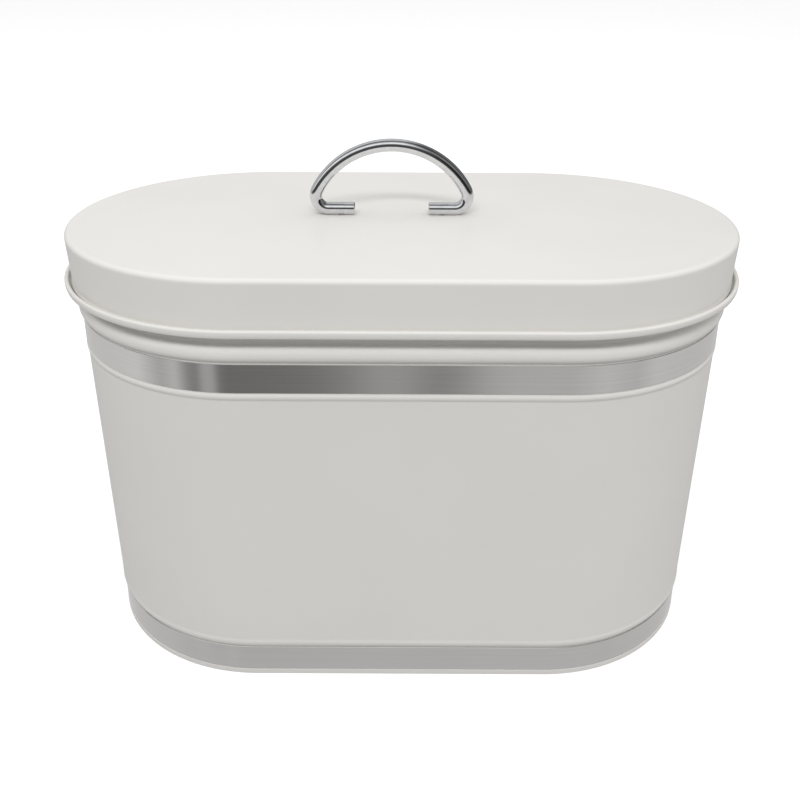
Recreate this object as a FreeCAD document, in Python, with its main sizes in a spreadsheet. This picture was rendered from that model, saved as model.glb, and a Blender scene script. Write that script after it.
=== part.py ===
"""Oval steel bread bin with a lift-off lid, as a parametric document.

Frame: +X along the bin's length, +Y towards its back, +Z up, millimetres.
The origin is the centre of the ring that the bin stands on.

Seen from above every ring of the bin is a stadium: two half-circles whose centres stand
half_straight from the middle, joined by straight sides. A "radius" below is the distance
from those end centres, so the same section serves the round ends and the straight sides.
"""
import FreeCAD, Part
import math
import os
import Sketcher

Vector = FreeCAD.Vector

DIMENSIONS = {
    # stadium plan, measured at the lid's top edge
    "lid_length": 340.0,
    "lid_width": 190.0,
    "sheet": 0.5,
    # body wall: outer radii and heights, from the foot up
    "foot_radius": 86.5,
    "foot_bottom": 0.5,
    "foot_channel_top": 17.6,
    "swell_radius": 87.5,
    "swell_height": 21.4,
    "swell_curve": 8.5,
    "shoulder_radius": 90.3,
    "shoulder_height": 162.6,
    "bead_curve": 2.8,
    "channel_radius": 90.4,
    "channel_bottom": 166.0,
    "channel_top": 181.6,
    "neck_curve": 4.6,
    "groove_radius": 88.0,
    "groove_bottom": 190.0,
    "groove_top": 191.4,
    "flare_radius": 96.0,
    "flare_height": 197.0,
    "rim_height": 198.95,
    "rim_fold_radius": 1.05,
    "rim_lip_bottom": 196.5,
    # base pan
    "pan_floor": 2.6,
    "pan_hem_height": 3.0,
    "pan_bend": 1.0,
    # steel bands
    "band_sheet": 0.4,
    "band_width": 14.4,
    "band_gap": 0.02,
    "lower_band_bottom": 3.1,
    "upper_band_bottom": 166.6,
    "band_lap": 14.0,
    # lid
    "lid_height": 223.0,
    "lid_edge_curve": 2.2,
    "skirt_radius": 93.8,
    "hem_top": 199.0,
    "hem_bottom": 196.8,
    "hem_curve": 1.35,
    # handle wire, and where its middle stands on the lid
    "handle_offset_x": -5.3,
    "handle_offset_y": 4.5,
    "wire_radius": 3.25,
    "foot_flat": 0.2,
    "handle_half_width": 39.05,
    "wire_end": 19.0,
    "foot_bend": 6.4,
    "arch_rise": 26.6,
    "arch_side_curve": 7.5,
    # M4 screw and washer under each foot
    "screw_offset": 26.0,
    "screw_radius": 2.0,
    "screw_reach": 4.2,
    "screw_head_radius": 4.0,
    "screw_head_height": 2.4,
    "screw_dome": 1.8,
    "tapped_hole_radius": 2.02,
    "tapped_hole_depth": 4.6,
    "recess_length": 4.4,
    "recess_width": 0.9,
    "recess_depth": 1.4,
    "lid_hole_radius": 2.25,
    "washer_radius": 4.5,
    "washer_bore": 2.15,
    "washer_thickness": 0.8,
}

UPRIGHT = FreeCAD.Rotation(Vector(1, 0, 0), 90)


class Measure:
    """A length that knows its value and the sheet expression that gives it."""

    def __init__(self, value, text):
        self.value = value
        self.text = text

    def _join(self, other, sign, value):
        text = other.text if isinstance(other, Measure) else repr(float(other))
        return Measure(value, f"({self.text} {sign} {text})")

    def __add__(self, other):
        return self._join(other, "+", self.value + number(other))

    def __sub__(self, other):
        return self._join(other, "-", self.value - number(other))

    def __mul__(self, other):
        return self._join(other, "*", self.value * number(other))

    def __truediv__(self, other):
        return self._join(other, "/", self.value / number(other))


def number(length):
    """The plain value of a Measure or a number."""
    return length.value if isinstance(length, Measure) else float(length)


ZERO = Measure(0.0, "0")

document = FreeCAD.newDocument("bread_bin")
sheet = document.addObject("Spreadsheet::Sheet", "Spec")
for row, (alias, size) in enumerate(DIMENSIONS.items(), start=1):
    sheet.set(f"A{row}", alias)
    sheet.set(f"B{row}", repr(size))
    sheet.setAlias(f"B{row}", alias)
document.recompute()

spec = {alias: Measure(size, f"Spec.{alias}") for alias, size in DIMENSIONS.items()}
half_straight = (spec["lid_length"] - spec["lid_width"]) / 2
lid_radius = spec["lid_width"] / 2
sub_parts = []


# ---------------------------------------------------------------- placing and sketching

def bind(owner, path, length):
    """Ties a property of owner to the sheet."""
    owner.setExpression(path, length.text)


def place(owner, across=None, back=None, up=None):
    """Ties the parts of a placement that are given."""
    for axis, length in (("x", across), ("y", back), ("z", up)):
        if length is not None:
            bind(owner, f"Placement.Base.{axis}", length)


def place_at_screw(owner, side, up):
    """Places a piece on the axis of the left (-1) or right (+1) handle screw."""
    across = spec["handle_offset_x"] + spec["screw_offset"] * side
    place(owner, across, spec["handle_offset_y"], up)


def pin_point(sketch, geometry, end, across, up):
    """Holds one end of a sketch line or arc at the place (across, up)."""
    for kind, axis, length in (("DistanceX", -2, across), ("DistanceY", -1, up)):
        if abs(length.value) < 1e-9:
            sketch.addConstraint(Sketcher.Constraint("PointOnObject", geometry, end, axis))
            continue
        held = sketch.addConstraint(Sketcher.Constraint(kind, -1, 1, geometry, end, length.value))
        bind(sketch, f"Constraints[{held}]", length)


def arc_through(start, finish, radius, bulge):
    """The short arc from start to finish that swells to the left (+1) or the right (-1)."""
    chord = finish - start
    left = Vector(-chord.y, chord.x, 0).normalize()
    rise = radius - math.sqrt(radius ** 2 - (chord.Length / 2) ** 2)
    return Part.Arc(start, (start + finish) / 2 + left * rise * bulge, finish)


def draw(sketch, points, closed=False):
    """Draws a chain of lines and arcs through points (across, up, arc).

    arc is None for a straight run to the next point, or (radius, bulge). Gives the number of
    the last edge and which of its ends (1 or 2) the chain finishes at.
    """
    flat = [Vector(across.value, up.value, 0) for across, up, _ in points]
    count = len(points) if closed else len(points) - 1
    edge = last = None
    for index in range(count):
        start, finish = flat[index], flat[(index + 1) % len(points)]
        across, up, arc = points[index]
        if arc is None:
            edge = sketch.addGeometry(Part.LineSegment(start, finish), False)
            first = 1
        else:
            curve = arc_through(start, finish, arc[0].value, arc[1])
            edge = sketch.addGeometry(curve, False)
            held = sketch.addConstraint(Sketcher.Constraint("Radius", edge, arc[0].value))
            bind(sketch, f"Constraints[{held}]", arc[0])
            begins = sketch.Geometry[edge].StartPoint
            first = 1 if begins.distanceToPoint(start) < 1e-6 else 2
        pin_point(sketch, edge, first, across, up)
        if index > 0:
            sketch.addConstraint(Sketcher.Constraint("Coincident", edge - 1, last, edge, first))
        last = 3 - first
    if closed:
        sketch.addConstraint(Sketcher.Constraint("Coincident", edge, last, edge - count + 1, 1))
    else:
        pin_point(sketch, edge, last, points[-1][0], points[-1][1])
    return edge, last


def draw_circle(sketch, across, up, radius):
    """A circle held by its centre and its radius."""
    centre = Vector(across.value, up.value, 0)
    ring = sketch.addGeometry(Part.Circle(centre, Vector(0, 0, 1), radius.value), False)
    pin_point(sketch, ring, 3, across, up)
    held = sketch.addConstraint(Sketcher.Constraint("Radius", ring, radius.value))
    bind(sketch, f"Constraints[{held}]", radius)


def draw_rectangle(sketch, left, right, bottom, top):
    """An upright rectangle from four lengths."""
    draw(sketch, [(left, bottom, None), (right, bottom, None), (right, top, None), (left, top, None)],
         closed=True)


def draw_centred_rectangle(sketch, reach, width):
    """A rectangle centred on the origin."""
    corners = [Vector(x * reach.value, y * width.value, 0) for x, y in ((-1, -1), (1, -1), (1, 1), (-1, 1))]
    sides = [sketch.addGeometry(Part.LineSegment(a, b), False)
             for a, b in zip(corners, corners[1:] + corners[:1])]
    for index, edge in enumerate(sides):
        sketch.addConstraint(Sketcher.Constraint("Coincident", edge, 2, sides[(index + 1) % 4], 1))
        sketch.addConstraint(Sketcher.Constraint("Horizontal" if index % 2 == 0 else "Vertical", edge))
    sketch.addConstraint(Sketcher.Constraint("Symmetric", sides[0], 1, sides[1], 2, -1, 1))
    for kind, edge, length in (("DistanceX", sides[0], reach * 2), ("DistanceY", sides[1], width * 2)):
        held = sketch.addConstraint(Sketcher.Constraint(kind, edge, 1, edge, 2, length.value))
        bind(sketch, f"Constraints[{held}]", length)


def draw_stadium(sketch, radius):
    """A stadium outline about the origin: two half-circles and two straight sides."""
    reach, width = half_straight.value, radius.value
    up = Vector(0, 0, 1)
    right = Part.ArcOfCircle(Part.Circle(Vector(reach, 0, 0), up, width), -math.pi / 2, math.pi / 2)
    left = Part.ArcOfCircle(Part.Circle(Vector(-reach, 0, 0), up, width), math.pi / 2, 1.5 * math.pi)
    back = Part.LineSegment(Vector(reach, width, 0), Vector(-reach, width, 0))
    front = Part.LineSegment(Vector(-reach, -width, 0), Vector(reach, -width, 0))
    edges = [sketch.addGeometry(edge, False) for edge in (right, back, left, front)]
    for index, edge in enumerate(edges):
        sketch.addConstraint(
            Sketcher.Constraint("Tangent", edge, 2, edges[(index + 1) % len(edges)], 1))
    sketch.addConstraint(Sketcher.Constraint("Equal", edges[0], edges[2]))
    sketch.addConstraint(Sketcher.Constraint("PointOnObject", edges[0], 3, -1))
    sketch.addConstraint(Sketcher.Constraint("Symmetric", edges[0], 3, edges[2], 3, -1, 1))
    for kind, held_at, length in (("Radius", (edges[0],), radius),
                                  ("DistanceX", (-1, 1, edges[0], 3), half_straight)):
        held = sketch.addConstraint(Sketcher.Constraint(kind, *held_at, length.value))
        bind(sketch, f"Constraints[{held}]", length)


# ---------------------------------------------------------------- Part workbench pieces

def sheet_section(name, points, thickness, finish=None):
    """The cut face of a bent sheet: an open path in the XZ plane, thickened to its left."""
    path = document.addObject("Sketcher::SketchObject", f"{name}_path")
    path.Placement = FreeCAD.Placement(Vector(), UPRIGHT)
    edge, last = draw(path, points)
    if finish is not None:
        finish(path, edge, last)
    face = document.addObject("Part::Offset2D", f"{name}_section")
    face.Source = path
    bind(face, "Value", thickness)
    face.Mode = "Skin"
    face.Join = "Arc"
    face.Fill = True
    return face


def stadium_shell(name, section):
    """Carries a section in the XZ plane round the whole stadium, as one solid."""
    pieces = []
    for side, turn in (("right", 0), ("left", 180)):
        end = document.addObject("Part::Revolution", f"{name}_{side}_end")
        end.Source = section
        end.Axis = Vector(0, 0, 1)
        end.Base = Vector(0, 0, 0)
        end.Angle = 180
        end.Symmetric = True
        end.Solid = True
        end.Placement = FreeCAD.Placement(Vector(), FreeCAD.Rotation(Vector(0, 0, 1), turn))
        bind(end, "Placement.Base.x", half_straight * (1 if side == "right" else -1))
        pieces.append(end)
    for side, turn in (("back", 90), ("front", -90)):
        straight = document.addObject("Part::Extrusion", f"{name}_{side}_side")
        straight.Base = section
        straight.DirMode = "Custom"
        straight.Dir = Vector(0, 1, 0)
        bind(straight, "LengthFwd", half_straight * 2)
        straight.Symmetric = True
        straight.Solid = True
        straight.Placement = FreeCAD.Placement(Vector(), FreeCAD.Rotation(Vector(0, 0, 1), turn))
        pieces.append(straight)
    shell = document.addObject("Part::MultiFuse", name)
    shell.Shapes = pieces
    shell.Refine = True
    return shell


def keep(piece, name):
    """Labels a finished sub-part with its node name."""
    piece.Label = name
    sub_parts.append(piece)
    return piece


def fold_path(path, edge, last):
    """The folded rim: a half-turn outwards over the top of the flare, and a lip that hangs from it."""
    inner = spec["rim_fold_radius"] - spec["sheet"]
    centre = spec["flare_radius"] + inner
    lip_radius = spec["flare_radius"] + inner * 2
    circle = Part.Circle(Vector(centre.value, spec["rim_height"].value, 0), Vector(0, 0, 1), inner.value)
    turn = path.addGeometry(Part.ArcOfCircle(circle, 0, math.pi), False)
    path.addConstraint(Sketcher.Constraint("Tangent", edge, last, turn, 2))
    held = path.addConstraint(Sketcher.Constraint("Radius", turn, inner.value))
    bind(path, f"Constraints[{held}]", inner)
    lip = path.addGeometry(Part.LineSegment(
        Vector(lip_radius.value, spec["rim_height"].value, 0),
        Vector(lip_radius.value, spec["rim_lip_bottom"].value, 0)), False)
    path.addConstraint(Sketcher.Constraint("Tangent", turn, 1, lip, 1))
    pin_point(path, lip, 2, lip_radius, spec["rim_lip_bottom"])


def make_body_wall():
    """The bin's wall: one strip with two band channels, a neck bead, a flare and a folded rim."""
    points = [
        (spec["foot_radius"], spec["foot_bottom"], None),
        (spec["foot_radius"], spec["foot_channel_top"], (spec["swell_curve"], -1)),
        (spec["swell_radius"], spec["swell_height"], None),
        (spec["shoulder_radius"], spec["shoulder_height"], (spec["bead_curve"], -1)),
        (spec["channel_radius"], spec["channel_bottom"], None),
        (spec["channel_radius"], spec["channel_top"], (spec["neck_curve"], -1)),
        (spec["groove_radius"], spec["groove_bottom"], None),
        (spec["groove_radius"], spec["groove_top"], None),
        (spec["flare_radius"], spec["flare_height"], None),
        (spec["flare_radius"], spec["rim_height"], None),
    ]
    section = sheet_section("wall", points, spec["sheet"], fold_path)
    return keep(stadium_shell("wall", section), "body_wall")


def make_base_pan():
    """The pressed floor, whose edge folds down and up again round the wall's foot."""
    hem_outer = spec["foot_radius"] + spec["sheet"]
    hem_inner = spec["foot_radius"] - spec["sheet"] * 2
    bend = spec["pan_bend"]
    points = [
        (ZERO, spec["pan_floor"], None),
        (hem_inner - bend, spec["pan_floor"], (bend, 1)),
        (hem_inner, spec["pan_floor"] - bend, None),
        (hem_inner, ZERO, None),
        (hem_outer, ZERO, None),
        (hem_outer, spec["pan_hem_height"], None),
    ]
    section = sheet_section("pan", points, spec["sheet"])
    return keep(stadium_shell("pan", section), "base_pan")


def make_lid_shell():
    """The lid: a flat top drawn down into a skirt with a small hem, drilled for two screws."""
    edge = spec["lid_edge_curve"]
    points = [
        (spec["skirt_radius"], spec["hem_bottom"], (spec["hem_curve"], -1)),
        (spec["skirt_radius"], spec["hem_top"], None),
        (lid_radius, spec["lid_height"] - edge, (edge, -1)),
        (lid_radius - edge, spec["lid_height"], None),
        (ZERO, spec["lid_height"], None),
    ]
    section = sheet_section("lid", points, spec["sheet"])
    blank = stadium_shell("lid_blank", section)
    drills = []
    for side in (-1, 1):
        drill = document.addObject("Part::Cylinder", "lid_drill")
        bind(drill, "Radius", spec["lid_hole_radius"])
        bind(drill, "Height", spec["sheet"] * 4)
        place_at_screw(drill, side, spec["lid_height"] - spec["sheet"] * 2)
        drills.append(drill)
    pair = document.addObject("Part::MultiFuse", "lid_drills")
    pair.Shapes = drills
    lid = document.addObject("Part::Cut", "lid")
    lid.Base = blank
    lid.Tool = pair
    return keep(lid, "lid_shell")


# ---------------------------------------------------------------- PartDesign pieces

def new_body(name):
    """A PartDesign body that is a sub-part."""
    return keep(document.addObject("PartDesign::Body", name), name)


def new_sketch(body, name, role):
    """A sketch on one of the body's own origin planes."""
    sketch = body.newObject("Sketcher::SketchObject", name)
    plane = next(item for item in body.Origin.OriginFeatures if item.Role == role)
    sketch.AttachmentSupport = [(plane, "")]
    sketch.MapMode = "FlatFace"
    return sketch


def new_pad(body, name, sketch, length):
    """Pads a sketch along its normal."""
    pad = body.newObject("PartDesign::Pad", name)
    pad.Profile = sketch
    bind(pad, "Length", length)
    sketch.Visibility = False
    return pad


def new_pocket(body, name, sketch, depth, upwards):
    """Pockets a sketch, and stops the build if nothing was cut away."""
    before = body.Shape.Volume
    pocket = body.newObject("PartDesign::Pocket", name)
    pocket.Profile = sketch
    bind(pocket, "Length", depth)
    pocket.Reversed = upwards
    document.recompute()
    if body.Shape.Volume > before - 1e-3:
        raise RuntimeError(f"{name} cuts nothing")
    return pocket


def make_band(name, radius, bottom):
    """A steel strip wrapped round its channel, with its ends lapped at the middle of the back."""
    body = new_body(name)
    place(body, up=bottom)
    inner = radius + spec["band_gap"]
    outer = inner + spec["band_sheet"]
    ring = new_sketch(body, f"{name}_plan", "XY_Plane")
    draw_stadium(ring, outer)
    draw_stadium(ring, inner)
    new_pad(body, f"{name}_strip", ring, spec["band_width"])
    lap = new_sketch(body, f"{name}_lap_plan", "XY_Plane")
    draw_rectangle(lap, ZERO, spec["band_lap"], outer, outer + spec["band_sheet"])
    new_pad(body, f"{name}_lap", lap, spec["band_width"])
    return body


def handle_path(sketch):
    """The wire's centre line: two feet turned inwards, tight bends and a three-arc arch."""
    level = spec["wire_radius"].value - spec["foot_flat"].value
    bend, half = spec["foot_bend"].value, spec["handle_half_width"].value
    side, rise = spec["arch_side_curve"].value, spec["arch_rise"].value
    spring = level + bend
    run = half - side
    crown = (run ** 2 + rise ** 2 - side ** 2) / (2 * (rise - side))
    lean = math.atan2(run, crown - rise)
    normal = Vector(0, 0, 1)

    def arc(across, up, radius, start, finish):
        return Part.ArcOfCircle(Part.Circle(Vector(across, up, 0), normal, radius), start, finish)

    quarter = math.pi / 2
    pieces = [
        Part.LineSegment(Vector(DIMENSIONS["wire_end"], level, 0), Vector(half - bend, level, 0)),
        arc(half - bend, spring, bend, -quarter, 0),
        arc(run, spring, side, 0, quarter - lean),
        arc(0, spring + rise - crown, crown, quarter - lean, quarter + lean),
        arc(-run, spring, side, quarter + lean, math.pi),
        arc(bend - half, spring, bend, math.pi, 3 * quarter),
        Part.LineSegment(Vector(bend - half, level, 0), Vector(-DIMENSIONS["wire_end"], level, 0)),
    ]
    edges = [sketch.addGeometry(piece, False) for piece in pieces]
    foot, right_bend, right_side, top, left_side, left_bend, far_foot = edges
    for before, after in zip(edges, edges[1:]):
        sketch.addConstraint(Sketcher.Constraint("Tangent", before, 2, after, 1))
    pin_point(sketch, foot, 1, spec["wire_end"], spec["wire_radius"] - spec["foot_flat"])
    for level_foot, low_bend, side_arc in ((foot, right_bend, right_side), (far_foot, left_bend, left_side)):
        sketch.addConstraint(Sketcher.Constraint("Horizontal", level_foot))
        sketch.addConstraint(Sketcher.Constraint("Horizontal", low_bend, 3, side_arc, 3))
    sketch.addConstraint(Sketcher.Constraint("PointOnObject", top, 3, -2))
    sketch.addConstraint(Sketcher.Constraint("Symmetric", foot, 1, far_foot, 2, -2))
    sketch.addConstraint(Sketcher.Constraint("Equal", right_bend, left_bend))
    sketch.addConstraint(Sketcher.Constraint("Equal", right_side, left_side))
    for kind, place, length in (
            ("Radius", (right_bend,), spec["foot_bend"]),
            ("Radius", (right_side,), spec["arch_side_curve"]),
            ("DistanceX", (-1, 1, right_bend, 2), spec["handle_half_width"])):
        held = sketch.addConstraint(Sketcher.Constraint(kind, *place, length.value))
        bind(sketch, f"Constraints[{held}]", length)
    crown_text = ("((Spec.handle_half_width - Spec.arch_side_curve)^2 + Spec.arch_rise^2"
                  " - Spec.arch_side_curve^2) / (2 * (Spec.arch_rise - Spec.arch_side_curve))")
    held = sketch.addConstraint(Sketcher.Constraint("Radius", top, crown))
    bind(sketch, f"Constraints[{held}]", Measure(crown, crown_text))


def make_handle():
    """The chromed wire handle, flattened under its feet and tapped for the two screws."""
    body = new_body("handle")
    place(body, spec["handle_offset_x"], spec["handle_offset_y"], spec["lid_height"])
    route = new_sketch(body, "handle_route", "XZ_Plane")
    handle_path(route)
    wire = new_sketch(body, "handle_wire_section", "YZ_Plane")
    bind(wire, "AttachmentOffset.Base.z", spec["wire_end"])
    draw_circle(wire, ZERO, spec["wire_radius"] - spec["foot_flat"], spec["wire_radius"])
    document.recompute()
    pipe = body.newObject("PartDesign::AdditivePipe", "handle_wire")
    pipe.Profile = wire
    pipe.Spine = route
    document.recompute()
    flats = new_sketch(body, "handle_flat_plan", "XY_Plane")
    reach = spec["handle_half_width"] + spec["wire_radius"]
    draw_centred_rectangle(flats, reach, spec["wire_radius"])
    new_pocket(body, "handle_flats", flats, spec["wire_radius"], upwards=False)
    holes = new_sketch(body, "handle_hole_plan", "XY_Plane")
    for side in (-1, 1):
        draw_circle(holes, spec["screw_offset"] * side, ZERO, spec["tapped_hole_radius"])
    new_pocket(body, "handle_tapped_holes", holes, spec["tapped_hole_depth"], upwards=True)
    return body


def make_screw(name, side):
    """A pan-head screw with a cross recess, driven up through the lid into the handle's foot."""
    body = new_body(name)
    seat = spec["lid_height"] - spec["sheet"] - spec["washer_thickness"]
    place_at_screw(body, side, seat - spec["screw_head_height"])
    shank = new_sketch(body, f"{name}_section", "XZ_Plane")
    head = spec["screw_head_height"]
    tip = head + spec["washer_thickness"] + spec["sheet"] + spec["screw_reach"]
    dome = spec["screw_dome"]
    draw(shank, [
        (ZERO, ZERO, None),
        (spec["screw_head_radius"] - dome, ZERO, (dome, -1)),
        (spec["screw_head_radius"], dome, None),
        (spec["screw_head_radius"], head, None),
        (spec["screw_radius"], head, None),
        (spec["screw_radius"], tip, None),
        (ZERO, tip, None),
    ], closed=True)
    turned = body.newObject("PartDesign::Revolution", f"{name}_turned")
    turned.Profile = shank
    turned.ReferenceAxis = (shank, ["V_Axis"])
    turned.Angle = 360
    document.recompute()
    for index, (reach, width) in enumerate((("recess_length", "recess_width"),
                                            ("recess_width", "recess_length"))):
        slot = new_sketch(body, f"{name}_slot_{index}", "XY_Plane")
        draw_centred_rectangle(slot, spec[reach] / 2, spec[width] / 2)
        new_pocket(body, f"{name}_recess_{index}", slot, spec["recess_depth"], upwards=True)
    return body


def make_washer(name, side):
    """The plain washer between a screw's head and the lid."""
    body = new_body(name)
    place_at_screw(body, side, spec["lid_height"] - spec["sheet"] - spec["washer_thickness"])
    plan = new_sketch(body, f"{name}_plan", "XY_Plane")
    draw_circle(plan, ZERO, ZERO, spec["washer_radius"])
    draw_circle(plan, ZERO, ZERO, spec["washer_bore"])
    new_pad(body, f"{name}_disc", plan, spec["washer_thickness"])
    return body


# ---------------------------------------------------------------- build and export

def check_document():
    """Stops unless every object is up to date and every sub-part is one valid solid."""
    document.recompute()
    for item in document.Objects:
        if "Invalid" in item.State or "Error" in item.State:
            raise RuntimeError(f"{item.Name} failed: {item.State}")
    for piece in sub_parts:
        if piece.Shape.isNull() or not piece.Shape.isValid():
            raise RuntimeError(f"{piece.Label} has no valid shape")
        if len(piece.Shape.Solids) != 1:
            raise RuntimeError(f"{piece.Label} is {len(piece.Shape.Solids)} solids, not one")


def export_parts():
    """Writes one STEP file for each sub-part."""
    os.makedirs("parts", exist_ok=True)
    for piece in sub_parts:
        piece.Shape.exportStep(os.path.join("parts", f"{piece.Label}.step"))
        box = piece.Shape.BoundBox
        print(f"{piece.Label}: {box.XLength:.2f} x {box.YLength:.2f} x {box.ZLength:.2f} mm,"
              f" z {box.ZMin:.2f} to {box.ZMax:.2f}, {piece.Shape.Volume / 1000:.2f} cm3")


make_body_wall()
make_base_pan()
make_band("lower_band", spec["foot_radius"], spec["lower_band_bottom"])
make_band("upper_band", spec["channel_radius"], spec["upper_band_bottom"])
make_lid_shell()
make_handle()
for hand, sign in (("left", -1), ("right", 1)):
    make_screw(f"handle_screw_{hand}", sign)
    make_washer(f"handle_washer_{hand}", sign)
check_document()
export_parts()
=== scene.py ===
"""Oval steel bread bin with a lift-off lid: its smooth shapes, finishes, light and camera.

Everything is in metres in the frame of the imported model: +X along the bin's length, +Y
towards its back, +Z up, and z = 0 is the table. Every ring of the bin is a stadium, two
half-circles joined by straight sides, so a radius below is the distance from the centre of
an end's half-circle.
"""

import logging
import math
from collections.abc import Sequence
from dataclasses import dataclass, field
from enum import Enum

import bmesh
import bpy
from mathutils import Matrix, Vector


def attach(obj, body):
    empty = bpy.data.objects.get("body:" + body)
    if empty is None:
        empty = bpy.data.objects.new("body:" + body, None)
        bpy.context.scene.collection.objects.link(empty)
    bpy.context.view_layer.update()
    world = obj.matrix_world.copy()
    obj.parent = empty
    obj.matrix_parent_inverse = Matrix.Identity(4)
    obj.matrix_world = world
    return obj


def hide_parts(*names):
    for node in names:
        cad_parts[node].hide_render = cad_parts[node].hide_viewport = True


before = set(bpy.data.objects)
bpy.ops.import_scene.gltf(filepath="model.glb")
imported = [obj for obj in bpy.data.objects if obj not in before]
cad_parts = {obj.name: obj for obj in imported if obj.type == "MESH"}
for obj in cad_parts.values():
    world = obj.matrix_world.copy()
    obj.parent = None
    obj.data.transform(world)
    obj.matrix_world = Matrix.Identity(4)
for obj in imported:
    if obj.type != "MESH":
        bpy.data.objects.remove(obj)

MM = 0.001
LOG = logging.getLogger("bread_bin")

Tone = tuple[float, float, float]
Place = tuple[float, float, float]
Span = tuple[float, float]
Stops = tuple[tuple[float, float], ...]


class Body(Enum):
    """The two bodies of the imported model."""

    BIN = "bin"
    LID = "lid"


class Slot(Enum):
    """Material slot names listed for the new pieces; hand_over is given one but does not apply it.
    """

    ENAMEL = "white_enamel"
    STEEL = "steel_band"
    CHROME = "chrome_wire"


class Swell(Enum):
    """Which side of its way a bent run of sheet swells to."""

    LEFT = 1
    RIGHT = -1


# ------------------------------------------------------------------ nodes


class Term:
    """A number socket that can stand in a Python expression."""

    def __init__(self, wiring: "Wiring", socket: bpy.types.NodeSocket) -> None:
        """Wraps a socket.

        Args:
            wiring: the tree that the socket belongs to.
            socket: an output that carries one number.
        """
        self.wiring = wiring
        self.socket = socket

    def _join(self, operation: str, first: "Term | float", second: "Term | float") -> "Term":
        """Adds one Math node.

        Args:
            operation: the Math node's operation.
            first: what goes into its first socket.
            second: what goes into its second socket.

        Returns:
            The node's result.
        """
        node = self.wiring.add("ShaderNodeMath", {"operation": operation}, {0: first, 1: second})
        return Term(self.wiring, node.outputs[0])

    def __add__(self, other: "Term | float") -> "Term":
        """Self plus other."""
        return self._join("ADD", self, other)

    def __radd__(self, other: float) -> "Term":
        """Other plus self."""
        return self._join("ADD", other, self)

    def __sub__(self, other: "Term | float") -> "Term":
        """Self minus other."""
        return self._join("SUBTRACT", self, other)

    def __rsub__(self, other: float) -> "Term":
        """Other minus self."""
        return self._join("SUBTRACT", other, self)

    def __mul__(self, other: "Term | float") -> "Term":
        """Self times other."""
        return self._join("MULTIPLY", self, other)

    def __rmul__(self, other: float) -> "Term":
        """Other times self."""
        return self._join("MULTIPLY", other, self)

    def __truediv__(self, other: "Term | float") -> "Term":
        """Self over other."""
        return self._join("DIVIDE", self, other)

    def __rtruediv__(self, other: float) -> "Term":
        """Other over self."""
        return self._join("DIVIDE", other, self)

    def floor(self) -> "Term":
        """The whole part of the number."""
        return self._join("FLOOR", self, 0.0)

    def at_least(self, low: "Term | float") -> "Term":
        """The number, or low where the number is smaller."""
        return self._join("MAXIMUM", self, low)

    def beyond(self, low: "Term | float") -> "Term":
        """1 where the number is larger than low, else 0."""
        return self._join("GREATER_THAN", self, low)

    def cosine(self) -> "Term":
        """The cosine of an angle in radians."""
        return self._join("COSINE", self, 0.0)

    def sine(self) -> "Term":
        """The sine of an angle in radians."""
        return self._join("SINE", self, 0.0)

    def power(self, exponent: float) -> "Term":
        """The number raised to an exponent."""
        return self._join("POWER", self, exponent)

    def angle_over(self, other: "Term | float") -> "Term":
        """The angle in radians whose sine goes with the number and cosine with other."""
        return self._join("ARCTAN2", self, other)

    def ramp(self, low: float, high: float) -> "Term":
        """A smooth step from 0 at low to 1 at high.

        Args:
            low: where the step starts.
            high: where it ends.

        Returns:
            The height of the step.
        """
        node = self.wiring.add(
            "ShaderNodeMapRange", {"interpolation_type": "SMOOTHSTEP"},
            {"Value": self, "From Min": low, "From Max": high})
        return Term(self.wiring, node.outputs["Result"])


Feed = Term | bpy.types.NodeSocket | float | int | bool | Sequence[float]


class Wiring:
    """A node tree and the one way in which nodes are added to it."""

    def __init__(self, tree: bpy.types.NodeTree) -> None:
        """Takes over a tree and empties it.

        Args:
            tree: a shader or geometry node tree.
        """
        self.tree = tree
        tree.nodes.clear()

    def add(self, kind: str, settings: dict[str, object] | None = None,
            sockets: dict[int | str, Feed] | None = None) -> bpy.types.Node:
        """Adds a node.

        Args:
            kind: the node's type name.
            settings: its properties, set first; "stops" holds a ramp's (place, colour) pairs.
            sockets: values or links for its inputs, by name or number.

        Returns:
            The new node.
        """
        node = self.tree.nodes.new(kind)
        for name, value in (settings or {}).items():
            if name == "stops":
                self._fill_ramp(node, value)
            else:
                setattr(node, name, value)
        for key, value in (sockets or {}).items():
            if isinstance(value, Term):
                value = value.socket
            if isinstance(value, bpy.types.NodeSocket):
                self.tree.links.new(value, node.inputs[key])
            else:
                node.inputs[key].default_value = value
        return node

    @staticmethod
    def _fill_ramp(node: bpy.types.Node, stops: Sequence[tuple[float, Sequence[float]]]) -> None:
        """Sets the stops of a colour ramp.

        Args:
            node: a Color Ramp node.
            stops: places from 0 to 1 with their colours.
        """
        marks = node.color_ramp.elements
        while len(marks) < len(stops):
            marks.new(1.0)
        for mark, (place, colour) in zip(marks, stops):
            mark.position = place
            mark.color = (*colour, 1.0)

    def term(self, kind: str, output: int | str, settings: dict[str, object] | None = None,
             sockets: dict[int | str, Feed] | None = None) -> Term:
        """Adds a node and wraps one of its outputs.

        Args:
            kind: the node's type name.
            output: the output's name or number.
            settings: as for add.
            sockets: as for add.

        Returns:
            The output as a number for expressions.
        """
        return Term(self, self.add(kind, settings, sockets).outputs[output])

    def noise(self, place: Feed, scale: float, detail: float = 2.0) -> Term:
        """Adds a noise pattern.

        Args:
            place: the coordinates that it reads.
            scale: cells for each metre of the coordinates.
            detail: octaves of finer noise.

        Returns:
            A number about 0.5.
        """
        return self.term("ShaderNodeTexNoise", "Fac", None,
                         {"Vector": place, "Scale": scale, "Detail": detail})


# ------------------------------------------------------------------ finishes


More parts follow.
